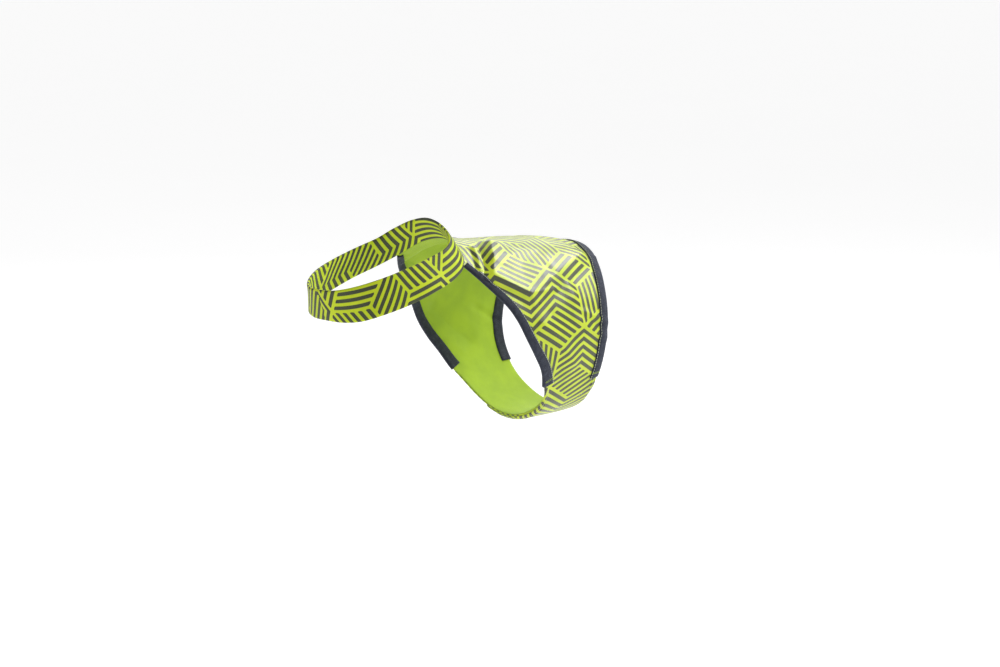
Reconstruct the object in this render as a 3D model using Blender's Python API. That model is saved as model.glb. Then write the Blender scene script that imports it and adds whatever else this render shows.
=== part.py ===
"""Reflective dog vest, in the shape it has on a wearer.

A saddle-shaped panel lies over the back and runs on, in one piece, into a strap on each side. The straps
close under the belly with a hook-and-loop fastener. A band round the neck is sewn to the panel's front edge,
and a dark tape binds both armholes and the rear hem.

Frame: metres, +Z up. The wearer faces -Y and its left side is +X. The origin is on the inner face of the
panel, on the midline of the back, where the wearer carries the vest. Sizes are in millimetres until they
reach a mesh. Angles go round the trunk in degrees: 0 at its left side, 90 on the midline of the back, and
180 at its right side. A folded angle is the same on both sides: past the midline it counts down again.
"""

import math

import bmesh
import bpy
import numpy as np

MM = 0.001

# Walls and seams.
PANEL_WALL = 1.2
BAND_WALL = 1.8
TAPE_WALL = 1.0
PATCH_WALL = 1.0
SEAM_GAP = 0.3

# Binding tape. The armhole tape starts a little below the neck band.
TAPE_WIDTH = 8.6
TAPE_END_CLEARANCE = 3.0

# Mesh counts.
ARMHOLE_STEPS = 16
NECK_STEPS = 18
THROAT_STEPS = 38
BAND_STEPS = 3
BODY_STEPS = 9
PATCH_WIDTH_STEPS = 6
STRAP_STEP_ANGLE = 4.0
SHARP_ANGLE = 50.0

# Trunk that the cloth lies on, an ellipse at each station from the shoulders to the loin.
TRUNK = np.array(
    # y, half_width, top_z, bottom_z
    [
        (-110, 68.0, 8.0, -167.0),
        (-75, 70.0, 3.5, -160.5),
        (-40, 70.5, 1.5, -155.0),
        (0, 70.0, 0.0, -151.0),
        (40, 67.5, -4.2, -149.0),
        (80, 63.0, -12.5, -144.5),
    ]
)
MEAN_RADIUS = 73.0
ARC_PER_DEGREE = math.radians(MEAN_RADIUS)

# Neck band: its rims from the throat (station 0) to the nape (station 9), on the wearer's left side.
NECK_RIMS = np.array(
    # station, upper_x, upper_y, upper_z, lower_x, lower_y, lower_z
    [
        (0, 0.0, -204.0, -25.0, 0.0, -195.5, -51.0),
        (1, 16.0, -201.0, -24.5, 19.0, -193.0, -51.0),
        (2, 30.0, -190.0, -21.0, 34.5, -186.5, -49.0),
        (3, 40.0, -173.0, -15.5, 46.0, -174.0, -44.0),
        (4, 44.5, -153.0, -9.5, 52.0, -151.0, -37.0),
        (5, 45.5, -131.0, -3.0, 53.5, -126.0, -28.5),
        (6, 43.0, -109.0, 4.0, 50.0, -103.5, -20.5),
        (7, 35.0, -98.0, 12.0, 42.0, -88.2, -12.0),
        (8, 19.0, -93.5, 19.5, 22.0, -79.0, 0.5),
        (9, 0.0, -92.0, 23.0, 0.0, -74.5, 5.0),
    ]
)
CORNER_STATION = 7
NAPE_STATION = 9

# Cut edges of the panel, from the end of a strap up to the neck seam or to the midline of the back.
FRONT_EDGE = np.array(
    # folded_angle, y
    [
        (-128, -3.0),
        (-75, -3.0),
        (-63, -3.5),
        (-52, -5.5),
        (-43, -8.5),
        (-34, -13.7),
        (-20, -22.2),
        (-9, -32.2),
        (2, -41.7),
        (14, -50.2),
        (22, -56.7),
        (31, -66.2),
        (41, -76.7),
        (52.5, -86.7),
    ]
)
REAR_EDGE = np.array(
    # folded_angle, y
    [
        (-128, 53.0),
        (-75, 53.0),
        (-60, 52.0),
        (-45, 49.5),
        (-34, 48.2),
        (-22, 47.2),
        (-5, 47.7),
        (12, 50.2),
        (29, 53.7),
        (48, 60.2),
        (66, 67.2),
        (90, 73.2),
        (114, 67.2),
    ]
)
TAPE_END_ANGLE = -34.0

# The armhole tape shows less of its width towards the neck.
ARMHOLE_TAPE = np.array(
    # folded_angle, width
    [(-34, 9.2), (-22, 7.8), (-8, 6.8), (10, 6.3), (30, 5.9), (52, 4.8)]
)

# Over what length the panel leaves the neck seam for the trunk, and its folds rise from the seams.
NECK_FADE = 30.0
FOLD_FADE = 18.0
FOLD_FADE_ANGLE = 20.0

# Soft ridges where the cloth stands off the trunk. Each runs from one point of the panel to another.
FOLDS = (
    # (angle_0, y_0, angle_1, y_1, half_width, height)
    (69, -46, 54, -57, 6.0, 3.0),
    (54, -58, 29, -36, 7.0, 2.6),
    (27, 0, 49, 22, 10.0, 3.0),
    (8, -22, -20, 14, 9.0, 1.6),
    (128, -60, 112, -40, 7.0, 2.4),
    (140, -56, 151, -18, 8.0, 2.4),
    (134, 6, 160, 40, 9.0, 2.2),
)

# Belly straps. The left one laps over the right one, from angle to angle on the left side of the trunk.
LEFT_STRAP_END = -112.0
RIGHT_STRAP_END = -54.0
PATCH_ENDS = (-104.0, -60.0)
PATCH_EDGE_INSET = 5.0

# How far the left strap stands off the trunk: it climbs over the right strap and the fastener.
UNDER_LOOP = PANEL_WALL + SEAM_GAP
UNDER_HOOK = UNDER_LOOP + PATCH_WALL + SEAM_GAP
UNDER_LEFT_STRAP = UNDER_HOOK + PATCH_WALL + SEAM_GAP
LEFT_STRAP_LIFT = np.array(
    # angle, lift
    [(-112, UNDER_LEFT_STRAP), (-56, UNDER_LEFT_STRAP), (-48, 3.0), (-34, 0.0)]
)

COLOURS = {
    # name: (red, green, blue, roughness)
    "printed_cloth": (0.50, 0.62, 0.06, 0.45),
    "binding_tape": (0.035, 0.04, 0.065, 0.8),
    "fastener": (0.10, 0.11, 0.11, 0.9),
}


def clear_scene():
    """Removes whatever the file holds."""
    for obj in list(bpy.data.objects):
        bpy.data.objects.remove(obj)


def material(name):
    """The named finish, made once."""
    found = bpy.data.materials.get(name)
    if found:
        return found
    red, green, blue, roughness = COLOURS[name]
    made = bpy.data.materials.new(name)
    made.use_nodes = True
    shader = made.node_tree.nodes["Principled BSDF"]
    shader.inputs["Base Color"].default_value = (red, green, blue, 1.0)
    shader.inputs["Roughness"].default_value = roughness
    shader.inputs["Metallic"].default_value = 0.0
    return made


def smooth(keys, values, at):
    """A smooth curve through the rows of a table, read at one key."""
    keys = np.asarray(keys, float)
    values = np.asarray(values, float)
    slopes = np.gradient(values, keys, axis=0)
    i = int(np.clip(np.searchsorted(keys, at) - 1, 0, len(keys) - 2))
    span = keys[i + 1] - keys[i]
    t = (at - keys[i]) / span
    return (
        (2 * t**3 - 3 * t**2 + 1) * values[i]
        + (t**3 - 2 * t**2 + t) * span * slopes[i]
        + (3 * t**2 - 2 * t**3) * values[i + 1]
        + (t**3 - t**2) * span * slopes[i + 1]
    )


def soft_step(x):
    """0 below 0, 1 above 1, and smooth between."""
    x = min(1.0, max(0.0, x))
    return x * x * (3 - 2 * x)


def unit(v):
    """A vector's direction."""
    return v / np.linalg.norm(v)


# The trunk and the neck ring.


def trunk(angle, y, lift=0.0):
    """A point on the trunk, or lift above it."""
    half_width, top, bottom = smooth(TRUNK[:, 0], TRUNK[:, 1:], y)
    half_height = (top - bottom) / 2
    c, s = math.cos(math.radians(angle)), math.sin(math.radians(angle))
    outward = unit(np.array([c / half_width, 0.0, s / half_height]))
    return np.array([half_width * c, y, (top + bottom) / 2 + half_height * s]) + outward * lift


def trunk_angle(point):
    """The angle round the trunk at which a point stands."""
    half_width, top, bottom = smooth(TRUNK[:, 0], TRUNK[:, 1:], point[1])
    height = (point[2] - (top + bottom) / 2) / ((top - bottom) / 2)
    return math.degrees(math.atan2(height, point[0] / half_width))


def neck_rim(station, lower):
    """A point on the neck band's upper or lower rim. Stations past the nape run back down the right side."""
    left = NECK_RIMS.copy()
    right = left[-2::-1].copy()
    right[:, 0] = 2 * NAPE_STATION - right[:, 0]
    right[:, [1, 4]] *= -1
    before = right[-4:-1].copy()
    before[:, 0] -= 2 * NAPE_STATION
    after = left[1:4].copy()
    after[:, 0] += 2 * NAPE_STATION
    rows = np.vstack([before, left, right, after])
    first = 4 if lower else 1
    return smooth(rows[:, 0], rows[:, first : first + 3], station)


def neck_normal(station):
    """The direction in which the neck band faces, away from the neck."""
    step = 0.05
    along = neck_rim(station + step, True) - neck_rim(station - step, True)
    down = neck_rim(station, True) - neck_rim(station, False)
    return unit(np.cross(down, along))


# The back panel.


def folded(angle):
    """The folded angle, the same on both sides of the trunk."""
    return min(angle, 180 - angle)


def front_y(angle):
    """The cut edge of the panel along an armhole and a strap's front."""
    return smooth(FRONT_EDGE[:, 0], FRONT_EDGE[:, 1], folded(angle))


def rear_y(angle):
    """The cut edge of the panel along the rear hem and a strap's rear."""
    return smooth(REAR_EDGE[:, 0], REAR_EDGE[:, 1], folded(angle))


def fold_height(angle, y):
    """How far the folds lift the panel off the trunk."""
    here = np.array([angle * ARC_PER_DEGREE, y])
    height = 0.0
    for angle_0, y_0, angle_1, y_1, half_width, top in FOLDS:
        start = np.array([angle_0 * ARC_PER_DEGREE, y_0])
        end = np.array([angle_1 * ARC_PER_DEGREE, y_1])
        along = float((here - start) @ (end - start) / ((end - start) @ (end - start)))
        across = np.linalg.norm(here - start - (end - start) * along)
        ends = math.exp(-((max(0.0, abs(along - 0.5) - 0.3) / 0.25) ** 2))
        height += top * ends * math.exp(-((across / half_width) ** 2))
    return height


def strap_angles(end, start):
    """Angles along a strap or a patch: both ends, and the multiples of a fixed step between them."""
    first = math.floor(end / STRAP_STEP_ANGLE) + 1
    last = math.ceil(start / STRAP_STEP_ANGLE) - 1
    return [end, *(STRAP_STEP_ANGLE * k for k in range(first, last + 1)), start]


def panel_stations():
    """The panel's stations from strap end to strap end: the angle, and the neck station it is sewn at."""
    corner = trunk_angle(neck_rim(CORNER_STATION, True))
    armhole = list(np.linspace(TAPE_END_ANGLE, corner, ARMHOLE_STEPS + 1)[:-1])
    left = strap_angles(LEFT_STRAP_END, TAPE_END_ANGLE)[:-1] + armhole
    right = strap_angles(-180 - RIGHT_STRAP_END, TAPE_END_ANGLE)[:-1] + armhole
    neck = []
    for station in np.linspace(CORNER_STATION, 2 * NAPE_STATION - CORNER_STATION, NECK_STEPS + 1):
        neck.append((trunk_angle(neck_rim(station, True)), station))
    return [(a, None) for a in left] + neck + [(180 - a, None) for a in reversed(right)]


def reach(width, edge, angle):
    """A tape's width measured along Y, where its edge runs at a slant."""
    step = 2.0
    slope = (edge(angle + step) - edge(angle - step)) / np.linalg.norm(
        trunk(angle + step, edge(angle)) - trunk(angle - step, edge(angle))
    )
    return width * math.sqrt(1 + slope**2)


def neck_seam(station):
    """The panel's cut edge along the neck seam, butted against the middle of the band's lower rim."""
    lower = neck_rim(station, True)
    down = unit(lower - neck_rim(station, False))
    return lower + down * SEAM_GAP + neck_normal(station) * (BAND_WALL - PANEL_WALL) / 2


def panel_lengthwise(front, angle):
    """The Y of each of the panel's points at one station. The outer two at each end lie under the tape."""
    armhole_angle = min(max(folded(angle), TAPE_END_ANGLE), ARMHOLE_TAPE[-1, 0])
    front_reach = reach(smooth(*ARMHOLE_TAPE.T, armhole_angle), front_y, armhole_angle)
    rear = rear_y(angle)
    rear_reach = reach(TAPE_WIDTH, rear_y, angle)
    body = np.linspace(front + front_reach, rear - rear_reach, BODY_STEPS + 1)
    return [front, front + front_reach / 2, *body, rear - rear_reach / 2, rear]


def strap_lift(angle):
    """How far the panel's straps stand off the trunk."""
    return float(np.interp(angle, *LEFT_STRAP_LIFT.T)) if angle < TAPE_END_ANGLE else 0.0


def panel_row(angle, station):
    """The panel's inner points at one station, front to rear."""
    sewn = station is not None
    front = neck_seam(station)[1] if sewn else front_y(angle)
    shift = neck_seam(station) - trunk(angle, front) if sewn else np.zeros(3)
    row = []
    for y in panel_lengthwise(front, angle):
        rise = soft_step((folded(angle) - TAPE_END_ANGLE) / FOLD_FADE_ANGLE)
        if sewn:
            rise *= soft_step((y - front) / FOLD_FADE)
        pull = 1 - soft_step((y - front) / NECK_FADE)
        row.append(trunk(angle, y, fold_height(angle, y) * rise + strap_lift(angle)) + shift * pull)
    return row


def panel_surface():
    """The panel's inner points and the directions they face, station by station."""
    stations = panel_stations()
    points = np.array([panel_row(angle, station) for angle, station in stations])
    normals = facing(points)
    for i, (_, station) in enumerate(stations):
        if station is not None:
            normals[i, 0] = neck_normal(station)
    return points, normals


def facing(points):
    """The unit normal at each point of a grid, turned away from the trunk's axis."""
    round_way = np.gradient(points, axis=0)
    long_way = np.gradient(points, axis=1)
    normals = np.cross(round_way, long_way)
    normals /= np.linalg.norm(normals, axis=2, keepdims=True)
    outward = points + np.array([0.0, 0.0, MEAN_RADIUS])
    outward[:, :, 1] = 0.0
    if (normals * outward).sum() < 0:
        normals = -normals
    return normals


# Building solids.


def add_object(name, vertices, faces, finish):
    """One closed body from points in millimetres, faces out."""
    mesh = bpy.data.meshes.new(name)
    mesh.from_pydata([tuple(float(x) * MM for x in v) for v in vertices], [], faces)
    work = bmesh.new()
    work.from_mesh(mesh)
    bmesh.ops.recalc_face_normals(work, faces=work.faces)
    work.to_mesh(mesh)
    work.free()
    mesh.materials.append(material(finish))
    mesh.shade_smooth()
    mesh.set_sharp_from_angle(angle=math.radians(SHARP_ANGLE))
    obj = bpy.data.objects.new(name, mesh)
    bpy.context.scene.collection.objects.link(obj)
    return obj


def add_wall(name, inner, outer, finish, ring=False):
    """A wall between two grids of points. A ring closes on itself along the first direction."""
    rows, columns = inner.shape[:2]
    vertices = np.concatenate([inner.reshape(-1, 3), outer.reshape(-1, 3)])
    outer_start = rows * columns

    def at(i, j, side):
        return side * outer_start + (i % rows) * columns + j

    faces = []
    spans = rows if ring else rows - 1
    for i in range(spans):
        for j in range(columns - 1):
            for side in (0, 1):
                corners = ((i, j), (i + 1, j), (i + 1, j + 1), (i, j + 1))
                faces.append(tuple(at(*corner, side) for corner in corners))
        for j in (0, columns - 1):
            faces.append((at(i, j, 0), at(i + 1, j, 0), at(i + 1, j, 1), at(i, j, 1)))
    if not ring:
        for i in (0, rows - 1):
            for j in range(columns - 1):
                faces.append((at(i, j, 0), at(i, j + 1, 0), at(i, j + 1, 1), at(i, j, 1)))
    return add_object(name, vertices, faces, finish)


def add_tape(name, sections, finish):
    """A tape folded over an edge: the same closed outline at each station, skinned and capped."""
    sections = np.array(sections)
    rows, corners = sections.shape[:2]
    faces = []
    for i in range(rows - 1):
        for j in range(corners):
            k = (j + 1) % corners
            faces.append((i * corners + j, i * corners + k, (i + 1) * corners + k, (i + 1) * corners + j))
    half = corners // 2
    for i in (0, rows - 1):
        for j in range(half - 1):
            a, b = i * corners + j, i * corners + j + 1
            faces.append((a, b, i * corners + corners - 2 - j, i * corners + corners - 1 - j))
    return add_object(name, sections.reshape(-1, 3), faces, finish)


def tape_section(edge, middle, far, normals):
    """The outline of a tape folded over an edge, from the panel's own points at the edge and inward.

    It runs along the outside of the fold, then back along its inside, so that point j faces point -1 - j.
    """
    out = unit(edge - middle)
    near = PANEL_WALL + SEAM_GAP
    top = near + TAPE_WALL
    round_off = 0.4 * TAPE_WALL
    n_edge, n_middle, n_far = normals
    outside = [
        far + n_far * top,
        middle + n_middle * top,
        edge + n_edge * top + out * (SEAM_GAP + TAPE_WALL - 2 * round_off),
        edge + n_edge * (top - 2 * round_off) + out * (SEAM_GAP + TAPE_WALL),
        edge - n_edge * (SEAM_GAP + TAPE_WALL - 2 * round_off) + out * (SEAM_GAP + TAPE_WALL),
        edge - n_edge * (SEAM_GAP + TAPE_WALL) + out * (SEAM_GAP + TAPE_WALL - 2 * round_off),
        middle - n_middle * (SEAM_GAP + TAPE_WALL),
        far - n_far * (SEAM_GAP + TAPE_WALL),
    ]
    inside = [
        far + n_far * near,
        middle + n_middle * near,
        edge + n_edge * near + out * SEAM_GAP * 0.5,
        edge + n_edge * (near - 0.1) + out * SEAM_GAP,
        edge - n_edge * (SEAM_GAP - 0.1) + out * SEAM_GAP,
        edge - n_edge * SEAM_GAP + out * SEAM_GAP * 0.5,
        middle - n_middle * SEAM_GAP,
        far - n_far * SEAM_GAP,
    ]
    return outside + inside[::-1]


# The pieces.


def make_neck_band():
    """The band round the neck: a folded strap, standing on its lower rim."""
    right_corner = 2 * NAPE_STATION - CORNER_STATION
    neck = np.linspace(CORNER_STATION, right_corner, NECK_STEPS + 1)
    throat = np.linspace(right_corner, 2 * NAPE_STATION + CORNER_STATION, THROAT_STEPS + 1)
    inner, outer = [], []
    for station in [*neck, *throat[1:-1]]:
        station = station % (2 * NAPE_STATION)
        lower, upper, normal = neck_rim(station, True), neck_rim(station, False), neck_normal(station)
        row = [lower + (upper - lower) * t for t in np.linspace(0, 1, BAND_STEPS + 1)]
        inner.append(row)
        outer.append([p + normal * BAND_WALL for p in row])
    add_wall("neck_band", np.array(inner), np.array(outer), "printed_cloth", ring=True)


def make_panel(points, normals):
    """The saddle over the back, with its two straps."""
    add_wall("back_panel", points, points + normals * PANEL_WALL, "printed_cloth")


def make_bindings(points, normals):
    """The tapes on the armholes and the rear hem."""
    taped = [i for i, (angle, _) in enumerate(panel_stations()) if folded(angle) >= TAPE_END_ANGLE]
    left = taped[: ARMHOLE_STEPS + 1]
    right = taped[: -ARMHOLE_STEPS - 2 : -1]
    for name, stations in (("armhole_binding_left", left), ("armhole_binding_right", right)):
        sections = [tape_section(points[i, 0], points[i, 1], points[i, 2], normals[i, :3]) for i in stations]
        whole, last = np.array(sections[-2]), np.array(sections[-1])
        span = np.linalg.norm(last[0] - whole[0])
        sections[-1] = list(last + (whole - last) * min(0.9, TAPE_END_CLEARANCE / span))
        add_tape(name, sections, "binding_tape")
    sections = [
        tape_section(points[i, -1], points[i, -2], points[i, -3], normals[i, :-4:-1]) for i in taped
    ]
    add_tape("rear_binding", sections, "binding_tape")


def make_patches():
    """The two sides of the fastener, between the straps."""
    for name, lift in (("loop_patch", UNDER_LOOP), ("hook_patch", UNDER_HOOK)):
        inner, outer = [], []
        for angle in strap_angles(*PATCH_ENDS):
            ys = np.linspace(
                front_y(angle) + PATCH_EDGE_INSET, rear_y(angle) - PATCH_EDGE_INSET, PATCH_WIDTH_STEPS + 1
            )
            inner.append([trunk(angle, y, lift) for y in ys])
            outer.append([trunk(angle, y, lift + PATCH_WALL) for y in ys])
        add_wall(name, np.array(inner), np.array(outer), "fastener")


def main():
    """Builds the vest."""
    clear_scene()
    points, normals = panel_surface()
    make_neck_band()
    make_panel(points, normals)
    make_bindings(points, normals)
    make_patches()


main()
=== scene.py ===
"""Looks of a reflective dog vest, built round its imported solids.

The cloth, the tapes, the fastener and the thread are modelled again here, finer than the solids that they
stand for, on the same form and neck ring. Lengths are in millimetres until they reach a mesh, and angles go
round the form in degrees: 0 at the left side, 90 on the midline of the back, 180 at the right side.
"""

import logging
import math
from dataclasses import dataclass, field
from enum import Enum

import bmesh
import bpy
import numpy as np
from mathutils import Matrix, Vector


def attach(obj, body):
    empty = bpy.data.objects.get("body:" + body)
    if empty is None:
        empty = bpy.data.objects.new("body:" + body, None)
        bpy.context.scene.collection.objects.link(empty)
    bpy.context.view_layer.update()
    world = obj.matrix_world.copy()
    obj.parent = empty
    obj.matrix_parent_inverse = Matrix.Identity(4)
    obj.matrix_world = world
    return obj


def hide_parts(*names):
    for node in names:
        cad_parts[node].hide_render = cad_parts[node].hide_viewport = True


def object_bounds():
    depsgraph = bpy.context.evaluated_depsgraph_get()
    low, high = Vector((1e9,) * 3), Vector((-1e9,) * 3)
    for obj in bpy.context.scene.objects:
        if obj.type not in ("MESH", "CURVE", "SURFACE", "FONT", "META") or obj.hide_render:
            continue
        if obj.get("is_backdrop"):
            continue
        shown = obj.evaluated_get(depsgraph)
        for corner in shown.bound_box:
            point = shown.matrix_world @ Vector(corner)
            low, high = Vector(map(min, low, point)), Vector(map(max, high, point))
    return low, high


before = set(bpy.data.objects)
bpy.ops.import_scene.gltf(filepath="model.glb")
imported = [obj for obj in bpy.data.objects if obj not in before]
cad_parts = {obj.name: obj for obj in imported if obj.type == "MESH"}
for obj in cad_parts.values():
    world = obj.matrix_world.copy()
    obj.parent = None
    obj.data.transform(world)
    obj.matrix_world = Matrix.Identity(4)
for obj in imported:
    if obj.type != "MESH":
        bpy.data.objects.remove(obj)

MM = 0.001
CUT_MAP = "flat_cut"
FACING = "facing"

Array = np.ndarray
Material = bpy.types.Material
Node = bpy.types.Node
NodeTree = bpy.types.NodeTree
Object = bpy.types.Object
Socket = bpy.types.NodeSocket
Given = dict[str | int, object]
Colour = tuple[float, float, float]

log = logging.getLogger("vest")


# Curves and vectors.


def table(*rows: tuple[float, ...]) -> Array:
    """A field of a class whose default is rows of numbers."""
    return field(default_factory=lambda: np.array(rows, float))


def smooth(keyed: Array, at: Array) -> Array:
    """Reads a smooth curve through the rows of a table.

    Args:
        keyed: Rows of a key and its values, keys rising.
        at: The keys to read at.

    Returns:
        The values at each key, one more axis than at.
    """
    keys, values = keyed[:, 0], keyed[:, 1:]
    slopes = np.gradient(values, keys, axis=0)
    at = np.asarray(at, float)
    i = np.clip(np.searchsorted(keys, at) - 1, 0, len(keys) - 2)
    span = (keys[i + 1] - keys[i])[..., None]
    t = (at[..., None] - keys[i][..., None]) / span
    return (
        (2 * t**3 - 3 * t**2 + 1) * values[i]
        + (t**3 - 2 * t**2 + t) * span * slopes[i]
        + (3 * t**2 - 2 * t**3) * values[i + 1]
        + (t**3 - t**2) * span * slopes[i + 1]
    )


def soft_step(x: Array) -> Array:
    """0 below 0, 1 above 1, and smooth between."""
    x = np.clip(x, 0.0, 1.0)
    return x * x * (3 - 2 * x)


def unit(v: Array) -> Array:
    """The direction of each vector."""
    return v / np.maximum(np.linalg.norm(v, axis=-1, keepdims=True), 1e-12)


def run_along(points: Array) -> Array:
    """The distance run along a line of points, 0 at the first."""
    return np.concatenate([[0.0], np.cumsum(np.linalg.norm(np.diff(points, axis=0), axis=1))])


def uneven_wave(along: Array, rate: float, sway: float, sway_rate: float) -> Array:
    """A wave whose length changes as it runs."""
    return np.sin(along * rate + sway * np.sin(along * sway_rate))


def folded(angle: Array) -> Array:
    """The angle on the left side that matches an angle on either side."""
    return np.minimum(angle, 180 - np.asarray(angle, float))


def look_from(azimuth: float, elevation: float) -> Vector:
    """The direction from the vest to a viewer, from degrees: azimuth 0 at -Y and 90 at +X."""
    a, e = math.radians(azimuth), math.radians(elevation)
    return Vector((math.sin(a) * math.cos(e), -math.cos(a) * math.cos(e), math.sin(e)))


# The forms that the cloth lies on.


@dataclass
class DressForm:
    """The rounded form that the cloth lies on, an ellipse at each station from front to rear."""

    sections: Array = table(
        # y, half_width, top_z, bottom_z
        (-110, 68.0, 8.0, -167.0),
        (-75, 70.0, 3.5, -160.5),
        (-40, 70.5, 1.5, -155.0),
        (0, 70.0, 0.0, -151.0),
        (40, 67.5, -4.2, -149.0),
        (80, 63.0, -12.5, -144.5),
    )
    mean_radius: float = 73.0

    @property
    def per_degree(self) -> float:
        """Length round the form for each degree."""
        return math.radians(self.mean_radius)

    def point(self, angle: Array, y: Array, lift: Array = 0.0) -> Array:
        """Gives points on the form, or above it.

        Args:
            angle: Angles round the form.
            y: Places along it.
            lift: Heights above it.

        Returns:
            The points, one more axis than the angles.
        """
        angle, y, lift = np.broadcast_arrays(np.radians(angle), np.asarray(y, float), lift)
        half_width, top, bottom = np.moveaxis(smooth(self.sections, y), -1, 0)
        half_height = (top - bottom) / 2
        c, s = np.cos(angle), np.sin(angle)
        outward = unit(np.stack([c / half_width, np.zeros_like(c), s / half_height], -1))
        base = np.stack([half_width * c, y, (top + bottom) / 2 + half_height * s], -1)
        return base + outward * lift[..., None]

    def angle_of(self, points: Array) -> Array:
        """Finds the angle round the form at which points stand.

        Args:
            points: The points.

        Returns:
            The angles.
        """
        half_width, top, bottom = np.moveaxis(smooth(self.sections, points[..., 1]), -1, 0)
        height = (points[..., 2] - (top + bottom) / 2) / ((top - bottom) / 2)
        return np.degrees(np.arctan2(height, points[..., 0] / half_width))

    def beside(self, line: Array, angle: Array, y: Array) -> tuple[Array, Array, float]:
        """Measures places against a straight line on the flat cloth.

        Args:
            line: The angle and y of its start, then those of its end.
            angle: Angles round the form.
            y: Places along it.

        Returns:
            How far along the line each place is, how far to its left, and the line's length.
        """
        run = np.array([(line[2] - line[0]) * self.per_degree, line[3] - line[1]])
        length = float(np.hypot(*run))
        ahead = run / length
        arc, up = (angle - line[0]) * self.per_degree, y - line[1]
        return arc * ahead[0] + up * ahead[1], up * ahead[0] - arc * ahead[1], length


@dataclass
class NeckRing:
    """The ring that the neck band follows, from the throat (station 0) over the nape (9) and back (18)."""

    left_rims: Array = table(
        # station, upper_x, upper_y, upper_z, lower_x, lower_y, lower_z
        (0, 0.0, -204.0, -25.0, 0.0, -195.5, -51.0),
        (1, 16.0, -201.0, -24.5, 19.0, -193.0, -51.0),
        (2, 30.0, -190.0, -21.0, 34.5, -186.5, -49.0),
        (3, 40.0, -173.0, -15.5, 46.0, -174.0, -44.0),
        (4, 44.5, -153.0, -9.5, 52.0, -151.0, -37.0),
        (5, 45.5, -131.0, -3.0, 53.5, -126.0, -28.5),
        (6, 43.0, -109.0, 4.0, 50.0, -103.5, -20.5),
        (7, 35.0, -98.0, 12.0, 42.0, -88.2, -12.0),
        (8, 19.0, -93.5, 19.5, 22.0, -79.0, 0.5),
        (9, 0.0, -92.0, 23.0, 0.0, -74.5, 5.0),
    )
    nape: float = 9.0
    corner: float = 7.0
    step: float = 0.05

    def __post_init__(self) -> None:
        """Closes the table: the right side mirrors the left, and some rows repeat past both ends."""
        left = self.left_rims
        right = left[-2::-1].copy()
        right[:, 0] = 2 * self.nape - right[:, 0]
        right[:, [1, 4]] *= -1
        before, after = right[-4:-1].copy(), left[1:4].copy()
        before[:, 0] -= 2 * self.nape
        after[:, 0] += 2 * self.nape
        self.rims_table = np.vstack([before, left, right, after])

    def rims(self, station: Array) -> tuple[Array, Array]:
        """The points of the upper and the lower rim at each station."""
        both = smooth(self.rims_table, np.mod(station, 2 * self.nape))
        return both[..., :3], both[..., 3:]

    def normal(self, station: Array) -> Array:
        """Finds the direction in which the band faces.

        Args:
            station: Stations round the ring.

        Returns:
            The directions.
        """
        upper, lower = self.rims(station)
        along = self.rims(station + self.step)[1] - self.rims(station - self.step)[1]
        return unit(np.cross(lower - upper, along))


@dataclass
class FlatFacet:
    """A flat place of the cloth, stretched between three points and falling away beyond its walls.

    The facet lies to the left of each wall, seen with the angle to the right and y upwards.
    """

    corners: Array
    walls: Array
    softness: float = 0.22
    steepest: float = 60.0

    def height(self, form: DressForm, angle: Array, y: Array) -> Array:
        """How far the facet lifts the cloth at each place.

        Args:
            form: The form under it.
            angle: Angles round the form.
            y: Places along it.

        Returns:
            The heights, 0 away from the facet.
        """
        base = form.point(angle, y)
        outward = form.point(angle, y, 1.0) - base
        first, second, third = form.point(*self.corners.T)
        facing = unit(np.cross(second - first, third - first))
        sides = [(first - base) @ facing / (outward @ facing)]
        for *line, top, slope in self.walls:
            sides.append(top + slope * form.beside(line, angle, y)[1])
        steps = np.clip(np.array(sides) / self.softness, -self.steepest, self.steepest)
        lowest = -np.log(np.exp(-steps).sum(0))
        return self.softness * np.log1p(np.exp(lowest))


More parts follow.
